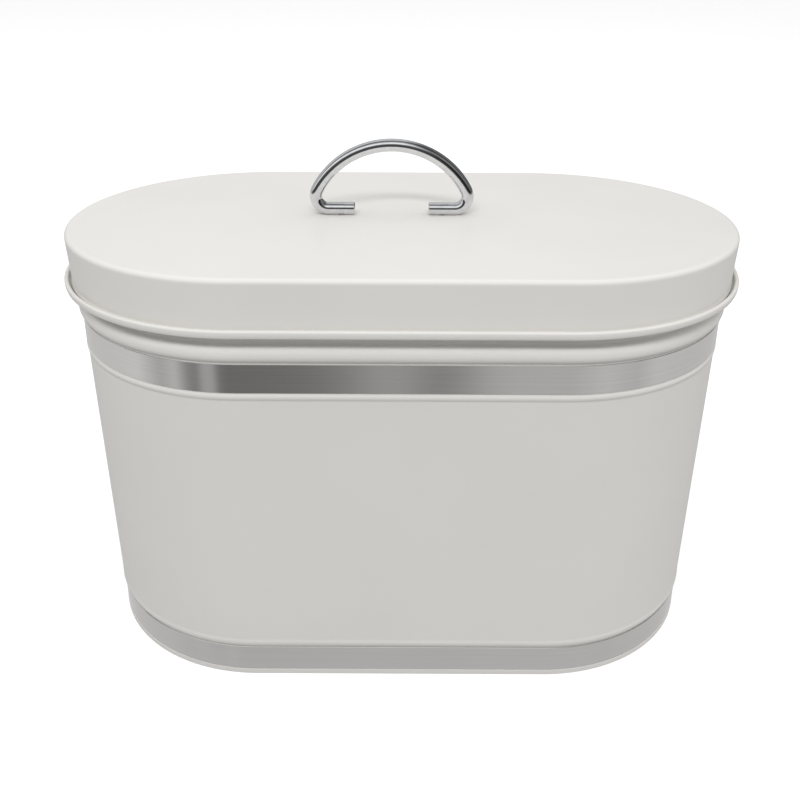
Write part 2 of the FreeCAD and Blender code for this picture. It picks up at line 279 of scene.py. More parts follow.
@dataclass(frozen=True)
class Finish:
    """What every finish has: a name and a way to fill its shader."""

    name: str

    def material(self) -> bpy.types.Material:
        """Builds the material.

        Returns:
            A new material whose nodes come from the finish.
        """
        material = bpy.data.materials.new(self.name)
        material.use_nodes = True
        wiring = Wiring(material.node_tree)
        place = wiring.add("ShaderNodeTexCoord").outputs["Object"]
        shader = self.fill(wiring, place)
        wiring.add("ShaderNodeOutputMaterial", None, {"Surface": shader.outputs[0]})
        return material

    def fill(self, wiring: Wiring, place: bpy.types.NodeSocket) -> bpy.types.Node:
        """Adds the finish's own nodes.

        Args:
            wiring: the material's tree.
            place: the piece's own coordinates in metres.

        Returns:
            The surface shader.
        """
        raise NotImplementedError


@dataclass(frozen=True)
class Grain:
    """One noise pattern on a finish, with its share in the tone, the relief and the gloss."""

    cells: float
    detail: float = 2.0
    stretch: Place | None = None
    tone_edge: Span | None = None
    relief: float = 0.0
    gloss: float = 0.0

    def draw(self, wiring: Wiring, place: bpy.types.NodeSocket) -> Term:
        """Adds the pattern.

        Args:
            wiring: the material's tree.
            place: the piece's own coordinates in metres.

        Returns:
            A number about 0.5.
        """
        if self.stretch:
            place = wiring.add("ShaderNodeMapping", None, {
                "Vector": place, "Scale": self.stretch}).outputs["Vector"]
        return wiring.noise(place, self.cells, self.detail)


@dataclass(frozen=True)
class TwoTone(Finish):
    """A finish that drifts between two close tones, with a fine relief and uneven gloss."""

    ground_tone: Tone
    drift_tone: Tone
    roughness: float
    relief_depth: float
    relief_strength: float
    grains: tuple[Grain, ...]
    metallic: float = 1.0
    shine: float = 0.5

    def fill(self, wiring: Wiring, place: bpy.types.NodeSocket) -> bpy.types.Node:
        """Adds the grains and joins them in one shader.

        Args:
            wiring: the material's tree.
            place: the piece's own coordinates in metres.

        Returns:
            The surface shader.
        """
        drawn = [(grain, grain.draw(wiring, place)) for grain in self.grains]
        mask = next(term.ramp(*grain.tone_edge) for grain, term in drawn if grain.tone_edge)
        reliefs = [term * grain.relief for grain, term in drawn if grain.relief]
        glosses = [(term - 0.5) * grain.gloss for grain, term in drawn if grain.gloss]
        tone = wiring.add("ShaderNodeMix", {"data_type": "RGBA"}, {
            "Factor": mask, "A": (*self.ground_tone, 1.0), "B": (*self.drift_tone, 1.0)})
        bump = wiring.add("ShaderNodeBump", None, {
            "Strength": self.relief_strength, "Distance": self.relief_depth,
            "Height": sum(reliefs[1:], reliefs[0])})
        return wiring.add("ShaderNodeBsdfPrincipled", None, {
            "Base Color": tone.outputs["Result"],
            "Metallic": self.metallic,
            "Roughness": sum(glosses, self.roughness),
            "Normal": bump.outputs["Normal"],
            "Specular IOR Level": self.shine,
        })


@dataclass(frozen=True)
class PowderCoat(TwoTone):
    """Satin powder coat: faint clouds, a fine orange peel and a speckle in its white."""

    name: str = "satin_powder_coat"
    ground_tone: Tone = (0.802, 0.785, 0.754)
    drift_tone: Tone = (0.814, 0.797, 0.766)
    roughness: float = 0.40
    relief_depth: float = 0.012 * MM
    relief_strength: float = 0.55
    grains: tuple[Grain, ...] = (
        Grain(cells=16.0, detail=3.0, tone_edge=(0.35, 0.65), gloss=0.10),
        Grain(cells=520.0, relief=0.75),
        Grain(cells=2600.0, detail=1.0, relief=0.25, gloss=0.08))
    metallic: float = 0.0
    shine: float = 0.45


@dataclass(frozen=True)
class BrushedSteel(TwoTone):
    """Stainless strip with long fine brush lines round the bin, smudges and a soft mirror."""

    name: str = "brushed_stainless"
    ground_tone: Tone = (0.625, 0.610, 0.595)
    drift_tone: Tone = (0.665, 0.650, 0.635)
    roughness: float = 0.12
    relief_depth: float = 0.002 * MM
    relief_strength: float = 0.35
    grains: tuple[Grain, ...] = (
        Grain(cells=1.0, detail=4.0, stretch=(9.0, 9.0, 3400.0), tone_edge=(0.3, 0.7),
              relief=1.0, gloss=0.06),
        Grain(cells=34.0, detail=3.0, gloss=0.05))


@dataclass(frozen=True)
class ChromePlate(TwoTone):
    """Bright chrome over drawn wire: nearly a mirror, with a haze and a slight waviness."""

    name: str = "chrome_plate"
    ground_tone: Tone = (0.69, 0.70, 0.72)
    drift_tone: Tone = (0.765, 0.775, 0.79)
    roughness: float = 0.055
    relief_depth: float = 0.010 * MM
    relief_strength: float = 0.4
    grains: tuple[Grain, ...] = (
        Grain(cells=420.0, detail=3.0, tone_edge=(0.3, 0.7), gloss=0.05),
        Grain(cells=160.0, detail=1.0, relief=1.0))


@dataclass(frozen=True)
class ZincPlate(TwoTone):
    """Zinc plate on the screws and washers: a faint straw bloom on dull, cool, gritty grey."""

    name: str = "zinc_plate"
    ground_tone: Tone = (0.58, 0.61, 0.64)
    drift_tone: Tone = (0.64, 0.61, 0.52)
    roughness: float = 0.33
    relief_depth: float = 0.01 * MM
    relief_strength: float = 0.3
    grains: tuple[Grain, ...] = (
        Grain(cells=260.0, detail=3.0, tone_edge=(0.45, 0.75)),
        Grain(cells=3800.0, relief=1.0, gloss=0.2))


@dataclass(frozen=True)
class TableTop(Finish):
    """The matt white table, which throws less light back than it shows."""

    name: str = "matt_white_table"
    shown_tone: Tone = (0.97, 0.97, 0.97)
    thrown_tone: Tone = (0.33, 0.33, 0.33)
    glow: float = 0.28
    roughness: float = 0.75
    shine: float = 0.1
    grain_cells: float = 300.0
    grain_gloss: float = 0.1

    def fill(self, wiring: Wiring, place: bpy.types.NodeSocket) -> bpy.types.Node:
        """Adds the table's nodes.

        Args:
            wiring: the material's tree.
            place: the table's own coordinates in metres.

        Returns:
            The surface shader.
        """
        grain = wiring.noise(place, self.grain_cells)
        shown, thrown = (
            wiring.add("ShaderNodeBsdfPrincipled", None, {
                "Base Color": (*tone, 1.0),
                "Roughness": self.roughness + (grain - 0.5) * self.grain_gloss,
                "Specular IOR Level": self.shine,
                "Emission Color": (1.0, 1.0, 1.0, 1.0),
                "Emission Strength": glow,
            }).outputs[0]
            for tone, glow in ((self.shown_tone, self.glow), (self.thrown_tone, 0.0)))
        seen = wiring.add("ShaderNodeLightPath").outputs["Is Camera Ray"]
        return wiring.add("ShaderNodeMixShader", None, {0: seen, 1: thrown, 2: shown})


# ------------------------------------------------------------------ bent sheet


@dataclass
class SheetPath:
    """The line that a bent sheet follows in its cut face, as (radius, height) points.

    The metal lies on the left of the way along the line.
    """

    points: list[Vector]
    spacing: float = 0.15 * MM
    arc_step: float = math.radians(9)
    kept_turn: float = math.radians(7)
    least_turn: float = math.radians(0.25)
    sharpest: float = 0.5
    edge_shares: Span = (0.28, 0.72)
    axis_slack: float = 1e-9

    def line(self, radius: float, height: float) -> "SheetPath":
        """Adds a straight run to a point."""
        self.points.append(Vector((radius, height)))
        return self

    def arc(self, radius: float, height: float, curve: float, swell: Swell) -> "SheetPath":
        """Adds the short arc to a point.

        Args:
            radius: the point's radius.
            height: the point's height.
            curve: the arc's own radius.
            swell: the side that it swells to.

        Returns:
            The path itself.
        """
        start, finish = self.points[-1], Vector((radius, height))
        chord = finish - start
        left = Vector((-chord.y, chord.x)).normalized()
        half = chord.length / 2
        centre = (start + finish) / 2 - left * math.sqrt(curve ** 2 - half ** 2) * swell.value
        return self.turn(centre, -2 * math.asin(half / curve) * swell.value)

    def turn(self, centre: Vector, sweep: float) -> "SheetPath":
        """Turns the line about a centre.

        Args:
            centre: the centre of the turn.
            sweep: the angle in radians, against the clock when positive.

        Returns:
            The path itself.
        """
        start = self.points[-1] - centre
        steps = max(3, math.ceil(abs(sweep) / self.arc_step))
        for step in range(1, steps + 1):
            self.points.append(centre + Matrix.Rotation(sweep * step / steps, 2) @ start)
        return self

    def relaxed(self, softness: float) -> "SheetPath":
        """Rounds every corner as forming and paint do, and drops points where it is straight.

        Args:
            softness: how far a corner is spread.

        Returns:
            The path itself.
        """
        even = [self.points[0]]
        for start, finish in zip(self.points, self.points[1:]):
            steps = max(1, round((finish - start).length / self.spacing))
            even += [start.lerp(finish, step / steps) for step in range(1, steps + 1)]
        for _ in range(round(2 * (softness / self.spacing) ** 2)):
            threes = zip(even, even[1:], even[2:])
            even = [even[0], *((a + b * 2 + c) / 4 for a, b, c in threes), even[-1]]
        threes = zip(even, even[1:], even[2:])
        turns = [0.0, *((b - a).angle(c - b, 0.0) for a, b, c in threes), 0.0]
        kept, turned = [even[0]], 0.0
        for index in range(1, len(even) - 1):
            turned += turns[index]
            straight, straight_next = (turn < self.least_turn for turn in turns[index:index + 2])
            if turned > self.kept_turn or straight != straight_next:
                kept.append(even[index])
                turned = 0.0
        self.points = [*kept, even[-1]]
        return self

    def offset(self, distance: float) -> list[Vector]:
        """The line moved to its left.

        Args:
            distance: how far it moves.

        Returns:
            One point for each point of the path.
        """
        moved = []
        for index, here in enumerate(self.points):
            before = here - self.points[index - 1] if index else None
            after = self.points[index + 1] - here if index + 1 < len(self.points) else None
            ways = [way.normalized() for way in (before, after) if way is not None]
            along = sum(ways, Vector((0.0, 0.0))).normalized()
            grow = 1 / max(self.sharpest, along.dot(ways[0]))
            moved.append(here + Vector((-along.y, along.x)) * distance * grow)
        return moved

    def cut_face(self, thickness: float, edge_round: float = 0.12 * MM) -> list[Vector]:
        """The outline of the sheet's cut face.

        Args:
            thickness: the sheet's thickness.
            edge_round: how far the cut edges are rounded.

        Returns:
            A closed loop whose last point repeats the first, or an open chain that starts
            and ends on the axis where the sheet reaches it.
        """
        outer, inner = list(self.points), self.offset(thickness)
        starts_on_axis, ends_on_axis = (end.x < self.axis_slack for end in (outer[0], outer[-1]))
        for line in (outer, inner):
            for on_axis, end, near in ((starts_on_axis, 0, 1), (ends_on_axis, -1, -2)):
                if on_axis:
                    line[end].x = 0.0
                else:
                    line[end] = line[end] + (line[near] - line[end]).normalized() * edge_round

        def rim(first: Vector, second: Vector, out: Vector) -> list[Vector]:
            """The two points that round a cut edge."""
            return [first.lerp(second, share) + out * edge_round for share in self.edge_shares]

        inner.reverse()
        start_way = (self.points[0] - self.points[1]).normalized()
        end_way = (self.points[-1] - self.points[-2]).normalized()
        if ends_on_axis:
            return [*inner, *rim(inner[-1], outer[0], start_way), *outer]
        chain = [*outer, *rim(outer[-1], inner[0], end_way), *inner]
        if starts_on_axis:
            return chain
        return [*chain, *rim(inner[-1], outer[0], start_way), outer[0].copy()]


# ------------------------------------------------------------------ geometry recipes


class Recipe:
    """A geometry node tree with named inputs, and the step that turns it into a plain mesh."""

    title: str = "recipe"
    inputs: dict[str, str] = {}
    sharp_edge: float = math.radians(38)

    def __init__(self) -> None:
        """Builds the tree once."""
        self.tree = bpy.data.node_groups.new(self.title, "GeometryNodeTree")
        self.wiring = Wiring(self.tree)
        face = self.tree.interface
        face.new_socket("Geometry", in_out="INPUT", socket_type="NodeSocketGeometry")
        face.new_socket("Geometry", in_out="OUTPUT", socket_type="NodeSocketGeometry")
        self.keys = {name: face.new_socket(name, in_out="INPUT", socket_type=kind).identifier
                     for name, kind in {**self.inputs, "Finish": "NodeSocketMaterial"}.items()}
        self.given = self.wiring.add("NodeGroupInput").outputs
        real = self.wiring.add("GeometryNodeRealizeInstances", None, {"Geometry": self.grow()})
        smooth = self.shaded(real.outputs["Geometry"])
        dressed = self.wiring.add("GeometryNodeSetMaterial", None, {
            "Geometry": smooth, "Material": self.given["Finish"]})
        self.wiring.add("NodeGroupOutput", None, {"Geometry": dressed.outputs["Geometry"]})

    def grow(self) -> bpy.types.NodeSocket:
        """Adds the recipe's own nodes.

        Returns:
            The geometry before its instances are made real.
        """
        raise NotImplementedError

    def number(self, name: str) -> Term:
        """A named input as a number for expressions."""
        return Term(self.wiring, self.given[name])

    def shaded(self, geometry: bpy.types.NodeSocket) -> bpy.types.NodeSocket:
        """Shades smoothly, apart from sharp edges.

        Args:
            geometry: a mesh.

        Returns:
            The shaded mesh.
        """
        angle = self.wiring.term("GeometryNodeInputMeshEdgeAngle", "Unsigned Angle")
        faces = self.wiring.add("GeometryNodeSetShadeSmooth", {"domain": "FACE"}, {
            "Geometry": geometry, "Shade Smooth": True})
        edges = self.wiring.add("GeometryNodeSetShadeSmooth", {"domain": "EDGE"}, {
            "Geometry": faces.outputs["Geometry"], "Selection": angle.beyond(self.sharp_edge),
            "Shade Smooth": False})
        return edges.outputs["Geometry"]

    def cook(self, name: str, start: bpy.types.Mesh | bpy.types.Curve,
             finish: bpy.types.Material, **values: float | Place) -> bpy.types.Object:
        """Runs the recipe and keeps its result as a plain mesh.

        Args:
            name: the new piece's name.
            start: the mesh or curve that the recipe starts from.
            finish: the piece's material.
            values: the named inputs, with underscores for spaces.

        Returns:
            A new object without modifiers, at the origin.
        """
        holder = bpy.data.objects.new(f"{name}_start", start)
        bpy.context.scene.collection.objects.link(holder)
        modifier = holder.modifiers.new(self.title, "NODES")
        modifier.node_group = self.tree
        for key, value in values.items():
            modifier[self.keys[key.replace("_", " ")]] = value
        modifier[self.keys["Finish"]] = finish
        graph = bpy.context.evaluated_depsgraph_get()
        graph.update()
        mesh = bpy.data.meshes.new_from_object(holder.evaluated_get(graph), depsgraph=graph)
        bpy.data.objects.remove(holder)
        mesh.name = name
        piece = bpy.data.objects.new(name, mesh)
        bpy.context.scene.collection.objects.link(piece)
        return piece


class StadiumSweep(Recipe):
    """Carries a cut face, a chain of (radius, 0, height) points, once round the stadium."""

    title = "stadium_sweep"
    inputs = {"Half Straight": "NodeSocketFloat", "Arc Steps": "NodeSocketInt"}
    closing_gap: float = 0.004 * MM

    def grow(self) -> bpy.types.NodeSocket:
        """Bends a grid, one row for each point of the cut face, into the ring.

        Returns:
            The closed shell.
        """
        wiring, steps = self.wiring, self.number("Arc Steps")
        rows = wiring.term("GeometryNodeAttributeDomainSize", "Point Count", None,
                           {"Geometry": self.given["Geometry"]})
        grid = wiring.add("GeometryNodeMeshGrid", None, {
            "Vertices X": steps * 2 + 3, "Vertices Y": rows})
        number = wiring.term("GeometryNodeInputIndex", "Index")
        stop = ((number + 0.5) / rows).floor()
        row = number - stop * rows
        end = ((stop + 0.5) / (steps + 1)).floor()
        angle = (end + 0.5 + (stop - end * (steps + 1)) / steps) * math.pi
        side = end - (end / 2).floor() * 2
        section = wiring.add("GeometryNodeSampleIndex", {"data_type": "FLOAT_VECTOR"}, {
            "Geometry": self.given["Geometry"],
            "Value": wiring.add("GeometryNodeInputPosition").outputs[0], "Index": row})
        reach = wiring.add("ShaderNodeSeparateXYZ", None, {"Vector": section.outputs["Value"]})
        radius = Term(wiring, reach.outputs["X"])
        place = wiring.add("ShaderNodeCombineXYZ", None, {
            "X": (side * 2 - 1) * self.number("Half Straight") + radius * angle.cosine(),
            "Y": radius * angle.sine(), "Z": reach.outputs["Z"]})
        bent = wiring.add("GeometryNodeSetPosition", None, {
            "Geometry": grid.outputs["Mesh"], "Position": place.outputs["Vector"]})
        closed = wiring.add("GeometryNodeMergeByDistance", None, {
            "Geometry": bent.outputs["Geometry"], "Distance": self.closing_gap})
        return closed.outputs["Geometry"]


class DrilledPair(Recipe):
    """Drills two upright holes side by side."""

    title = "drilled_pair"
    inputs = {"Hole Radius": "NodeSocketFloat", "Middle": "NodeSocketVector",
              "Apart": "NodeSocketFloat", "Depth": "NodeSocketFloat"}
    hole_sides: int = 40

    def grow(self) -> bpy.types.NodeSocket:
        """Subtracts a cylinder at both places.

        Returns:
            The drilled mesh.
        """
        wiring = self.wiring
        apart = self.number("Apart")
        step = wiring.add("ShaderNodeCombineXYZ", None, {"X": apart})
        first = wiring.add("ShaderNodeVectorMath", {"operation": "SUBTRACT"}, {
            0: self.given["Middle"],
            1: wiring.add("ShaderNodeCombineXYZ", None, {"X": apart / 2}).outputs[0]})
        places = wiring.add("GeometryNodeMeshLine", {"mode": "OFFSET"}, {
            "Count": 2, "Start Location": first.outputs[0], "Offset": step.outputs[0]})
        drill = wiring.add("GeometryNodeMeshCylinder", None, {
            "Vertices": self.hole_sides, "Radius": self.given["Hole Radius"],
            "Depth": self.given["Depth"]})
        drills = wiring.add("GeometryNodeInstanceOnPoints", None, {
            "Points": places.outputs["Mesh"], "Instance": drill.outputs["Mesh"]})
        real = wiring.add("GeometryNodeRealizeInstances", None, {
            "Geometry": drills.outputs["Instances"]})
        cut = wiring.add(
            "GeometryNodeMeshBoolean", {"operation": "DIFFERENCE", "solver": "EXACT"},
            {"Mesh 1": self.given["Geometry"], "Mesh 2": real.outputs["Geometry"]})
        return cut.outputs["Mesh"]


class BentWire(Recipe):
    """Draws round wire along a curve, chamfers its cut ends and flattens it where it rests."""

    title = "bent_wire"
    inputs = {"Wire Radius": "NodeSocketFloat", "Seat Height": "NodeSocketFloat",
              "End Scale": "NodeSocketFloat"}
    wire_sides: int = 48

    def grow(self) -> bpy.types.NodeSocket:
        """Sweeps the wire's round section along the curve.

        Returns:
            The closed wire.
        """
        wiring = self.wiring
        tips = wiring.add("GeometryNodeCurveEndpointSelection", None, {
            "Start Size": 1, "End Size": 1})
        slimmed = wiring.add("GeometryNodeSetCurveRadius", None, {
            "Curve": self.given["Geometry"], "Selection": tips.outputs["Selection"],
            "Radius": self.given["End Scale"]})
        ring = wiring.add("GeometryNodeCurvePrimitiveCircle", {"mode": "RADIUS"}, {
            "Resolution": self.wire_sides, "Radius": self.given["Wire Radius"]})
        radius = wiring.add("GeometryNodeInputRadius").outputs["Radius"]
        tube = wiring.add("GeometryNodeCurveToMesh", None, {
            "Curve": slimmed.outputs["Curve"], "Profile Curve": ring.outputs["Curve"],
            "Scale": radius, "Fill Caps": True})
        spot = wiring.add("ShaderNodeSeparateXYZ", None, {
            "Vector": wiring.add("GeometryNodeInputPosition").outputs[0]})
        seated = wiring.add("ShaderNodeCombineXYZ", None, {
            "X": spot.outputs["X"], "Y": spot.outputs["Y"],
            "Z": Term(wiring, spot.outputs["Z"]).at_least(self.number("Seat Height"))})
        flat = wiring.add("GeometryNodeSetPosition", None, {
            "Geometry": tube.outputs["Mesh"], "Position": seated.outputs["Vector"]})
        return flat.outputs["Geometry"]


class WeldDots(Recipe):
    """Adds rows of shallow spot welds to the lap of a band."""

    title = "weld_dots"
    inputs = {"Dot Radius": "NodeSocketFloat", "Dot Height": "NodeSocketFloat",
              "Middle": "NodeSocketVector", "Width": "NodeSocketFloat", "Rise": "NodeSocketFloat"}
    columns: int = 2
    rows: int = 3
    dot_shape: dict[str, int] = {"Segments": 16, "Rings": 6}

    def grow(self) -> bpy.types.NodeSocket:
        """Sets a flattened round on each point of an upright grid.

        Returns:
            The band with its dots as instances.
        """
        wiring = self.wiring
        grid = wiring.add("GeometryNodeMeshGrid", None, {
            "Size X": self.given["Width"], "Size Y": self.given["Rise"],
            "Vertices X": self.columns, "Vertices Y": self.rows})
        upright = wiring.add("GeometryNodeTransform", None, {
            "Geometry": grid.outputs["Mesh"], "Translation": self.given["Middle"],
            "Rotation": (math.pi / 2, 0.0, 0.0)})
        dot = wiring.add("GeometryNodeMeshUVSphere", None, {
            **self.dot_shape, "Radius": self.given["Dot Radius"]})
        flat = wiring.add("ShaderNodeCombineXYZ", None, {
            "X": 1.0, "Y": self.number("Dot Height") / self.number("Dot Radius"), "Z": 1.0})
        dots = wiring.add("GeometryNodeInstanceOnPoints", None, {
            "Points": upright.outputs["Geometry"], "Instance": dot.outputs["Mesh"],
            "Scale": flat.outputs["Vector"]})
        both = wiring.add("GeometryNodeJoinGeometry")
        self.tree.links.new(dots.outputs["Instances"], both.inputs["Geometry"])
        self.tree.links.new(self.given["Geometry"], both.inputs["Geometry"])
        return both.outputs["Geometry"]


@dataclass
class Workshop:
    """The recipes and materials that the sub-assemblies share."""

    sweep: StadiumSweep = field(default_factory=StadiumSweep)
    drill: DrilledPair = field(default_factory=DrilledPair)
    wire: BentWire = field(default_factory=BentWire)
    welds: WeldDots = field(default_factory=WeldDots)
    enamel: bpy.types.Material = field(default_factory=PowderCoat().material)
    steel: bpy.types.Material = field(default_factory=BrushedSteel().material)
    chrome: bpy.types.Material = field(default_factory=ChromePlate().material)
    zinc: bpy.types.Material = field(default_factory=ZincPlate().material)
    half_straight: float = 75 * MM
    arc_steps: int = 72

    def ring(self, name: str, face: Sequence[Vector],
             finish: bpy.types.Material) -> bpy.types.Object:
        """Sweeps a cut face round the bin.

        Args:
            name: the piece's name.
            face: the outline from SheetPath.cut_face.
            finish: the piece's material.

        Returns:
            The finished shell.
        """
        chain = bpy.data.meshes.new(f"{name}_face")
        chain.from_pydata([(point.x, 0.0, point.y) for point in face],
                          [(index, index + 1) for index in range(len(face) - 1)], [])
        return self.sweep.cook(name, chain, finish, Half_Straight=self.half_straight,
                               Arc_Steps=self.arc_steps)


def add_to(piece: bpy.types.Object, extra: bmesh.types.BMesh) -> None:
    """Joins more faces to a piece's mesh.

    Args:
        piece: the piece.
        extra: the faces, which are freed afterwards.
    """
    for face in extra.faces:
        face.smooth = True
    loose = bpy.data.meshes.new("extra")
    extra.to_mesh(loose)
    extra.free()
    whole = bmesh.new()
    whole.from_mesh(piece.data)
    whole.from_mesh(loose)
    whole.to_mesh(piece.data)
    whole.free()
    bpy.data.meshes.remove(loose)


def ribbon(path: Sequence[Vector], half_width: float, proud: float,
           buried: float) -> bmesh.types.BMesh:
    """A flat seam that runs up the back of the wall.

    Args:
        path: the wall's outer line, as (radius, height) points.
        half_width: half of the seam's width.
        proud: how far it stands off the wall.
        buried: how far its back lies inside the wall's sheet.

    Returns:
        The closed strip, whose edges and ends are rounded.
    """
    rounded = ((-1.0, 0.45), (-0.86, 0.9), (-0.7, 1.0), (0.7, 1.0), (0.86, 0.9), (1.0, 0.45))
    end_fade = 0.35
    mesh = bmesh.new()
    rows = []
    for index, here in enumerate(path):
        ahead = path[min(index + 1, len(path) - 1)] - path[max(index - 1, 0)]
        away = Vector((ahead.y, -ahead.x)).normalized()
        height = proud * (end_fade if index in (0, len(path) - 1) else 1.0)
        row = []
        for across, lift in ((-1.0, -buried), *((side, height * share) for side, share in rounded),
                             (1.0, -buried)):
            spot = here + away * lift
            row.append(mesh.verts.new((across * half_width, spot.x, spot.y)))
        rows.append(row)
    for low, high in zip(rows, rows[1:]):
        for index in range(len(low)):
            other = (index + 1) % len(low)
            mesh.faces.new((low[index], low[other], high[other], high[index]))
    mesh.faces.new(list(reversed(rows[0])))
    mesh.faces.new(rows[-1])
    bmesh.ops.recalc_face_normals(mesh, faces=mesh.faces)
    return mesh


def dress(node: str, material: bpy.types.Material) -> None:
    """Gives a carried-over model node its material.

    Args:
        node: the node's name.
        material: the material for all its slots.
    """
    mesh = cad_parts[node].data
    if not mesh.materials:
        mesh.materials.append(material)
    for place in range(len(mesh.materials)):
        mesh.materials[place] = material


def hand_over(piece: bpy.types.Object, body: Body, slot: Slot, *nodes: str) -> None:
    """Lets a finished piece ride on its body, in place of model nodes.

    Args:
        piece: the finished piece.
        body: the body that it moves with.
        slot: not used.
        nodes: the model nodes that it stands for.
    """
    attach(piece, body.value)
    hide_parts(*nodes)
    LOG.info("%s: %d faces, rides on %s", piece.name, len(piece.data.polygons), body.value)


# ------------------------------------------------------------------ the bin


@dataclass
class BinBody:
    """The wall, the pressed pan and the two steel bands."""

    shop: Workshop
    sheet: float = 0.5 * MM
    foot_radius: float = 86.5 * MM
    foot_height: float = 0.5 * MM
    swell_radius: float = 87.6 * MM
    swell_bottom: float = 17.6 * MM
    swell_top: float = 22.6 * MM
    swell_curve: float = 5.2 * MM
    shoulder_radius: float = 90.3 * MM
    shoulder_height: float = 162.6 * MM
    shoulder_curve: float = 2.8 * MM
    channel_radius: float = 90.4 * MM
    channel_bottom: float = 166.0 * MM
    channel_top: float = 181.6 * MM
    neck_curve: float = 4.6 * MM
    groove_radius: float = 88.0 * MM
    groove_bottom: float = 190.0 * MM
    groove_top: float = 191.4 * MM
    flare_radius: float = 96.0 * MM
    flare_height: float = 197.0 * MM
    rim_height: float = 198.95 * MM
    fold_inner: float = 0.55 * MM
    lip_radius: float = 96.715 * MM
    lip_bottom: float = 196.5 * MM
    lip_curve: float = 5.0 * MM
    wall_softness: float = 0.30 * MM
    seam_runs: tuple[Span, ...] = ((21.8 * MM, 162.0 * MM), (182.4 * MM, 189.3 * MM))
    seam_half_width: float = 3.2 * MM
    seam_proud: float = 0.34 * MM
    seam_buried: float = 0.3 * MM
    pan_height: float = 2.6 * MM
    pan_curve: float = 1.0 * MM
    pan_softness: float = 0.26 * MM
    hem_top: float = 3.0 * MM
    band_sheet: float = 0.4 * MM
    band_width: float = 14.4 * MM
    band_gap: float = 0.02 * MM
    band_lap: float = 14.0 * MM
    lap_sunk: float = 0.008 * MM
    lap_round: float = 0.12 * MM
    lower_band_bottom: float = 3.1 * MM
    upper_band_bottom: float = 166.6 * MM
    weld_radius: float = 1.1 * MM
    weld_height: float = 0.09 * MM
    weld_spread: Span = (7.0 * MM, 9.0 * MM)

    def wall_line(self) -> SheetPath:
        """The wall's outer line from its foot to the lip of the folded rim.

        Returns:
            The line, with relaxed corners up to the fold.
        """
        path = SheetPath([Vector((self.foot_radius, self.foot_height))])
        path.line(self.foot_radius, self.swell_bottom)
        path.arc(self.swell_radius, self.swell_top, self.swell_curve, Swell.RIGHT)
        path.line(self.shoulder_radius, self.shoulder_height)
        path.arc(self.channel_radius, self.channel_bottom, self.shoulder_curve, Swell.RIGHT)
        path.line(self.channel_radius, self.channel_top)
        path.arc(self.groove_radius, self.groove_bottom, self.neck_curve, Swell.RIGHT)
        path.line(self.groove_radius, self.groove_top)
        path.line(self.flare_radius, self.flare_height)
        path.line(self.flare_radius, self.rim_height)
        path.relaxed(self.wall_softness)
        path.turn(Vector((self.flare_radius + self.fold_inner, self.rim_height)), -math.pi)
        return path.arc(self.lip_radius, self.lip_bottom, self.lip_curve, Swell.LEFT)

    def build_wall(self) -> bpy.types.Object:
        """Builds the wall and the flat seam up its back.

        Returns:
            The wall.
        """
        path = self.wall_line()
        wall = self.shop.ring("wall_shell", path.cut_face(self.sheet), self.shop.enamel)
        for low, high in self.seam_runs:
            run = [point for point in path.points if low <= point.y <= high]
            add_to(wall, ribbon(run, self.seam_half_width, self.seam_proud, self.seam_buried))
        return wall

    def build_pan(self) -> bpy.types.Object:
        """Builds the pressed floor with its hem round the wall's foot.

        Returns:
            The pan.
        """
        hem_inner, hem_outer = self.foot_radius - 2 * self.sheet, self.foot_radius + self.sheet
        path = SheetPath([Vector((0.0, self.pan_height))])
        path.line(hem_inner - self.pan_curve, self.pan_height)
        path.arc(hem_inner, self.pan_height - self.pan_curve, self.pan_curve, Swell.LEFT)
        path.line(hem_inner, 0.0).line(hem_outer, 0.0).line(hem_outer, self.hem_top)
        path.relaxed(self.pan_softness)
        return self.shop.ring("floor_pan", path.cut_face(self.sheet), self.shop.enamel)

    def build_band(self, name: str, radius: float, bottom: float) -> bpy.types.Object:
        """Builds a band with its welded lap at the back.

        Args:
            name: the band's name.
            radius: the radius of the channel that it lies in.
            bottom: the height of its lower edge.

        Returns:
            The band.
        """
        outer = radius + self.band_gap + self.band_sheet
        middle = bottom + self.band_width / 2
        path = SheetPath([Vector((outer, bottom))]).line(outer, bottom + self.band_width)
        strip = self.shop.ring(f"{name}_strip", path.cut_face(self.band_sheet), self.shop.steel)
        plate = bmesh.new()
        bmesh.ops.create_cube(plate, size=1.0)
        bmesh.ops.scale(plate, verts=plate.verts, vec=(
            self.band_lap, self.band_sheet + self.lap_sunk, self.band_width))
        bmesh.ops.translate(plate, verts=plate.verts, vec=(
            self.band_lap / 2, outer + (self.band_sheet - self.lap_sunk) / 2, middle))
        bmesh.ops.bevel(plate, geom=plate.edges[:], offset=self.lap_round, segments=2,
                        profile=0.5, affect="EDGES")
        add_to(strip, plate)
        start = strip.data
        bpy.data.objects.remove(strip)
        width, rise = self.weld_spread
        return self.shop.welds.cook(
            name, start, self.shop.steel, Dot_Radius=self.weld_radius,
            Dot_Height=self.weld_height, Width=width, Rise=rise,
            Middle=(self.band_lap / 2, outer + self.band_sheet, middle))

    def build(self) -> None:
        """Builds the four pieces and hands them over."""
        hand_over(self.build_wall(), Body.BIN, Slot.ENAMEL, "body_wall")
        hand_over(self.build_pan(), Body.BIN, Slot.ENAMEL, "base_pan")
        for name, radius, bottom in (("lower_band", self.foot_radius, self.lower_band_bottom),
                                     ("upper_band", self.channel_radius, self.upper_band_bottom)):
            band = self.build_band(f"{name}_wrap", radius, bottom)
            hand_over(band, Body.BIN, Slot.STEEL, name)


# ------------------------------------------------------------------ the lid


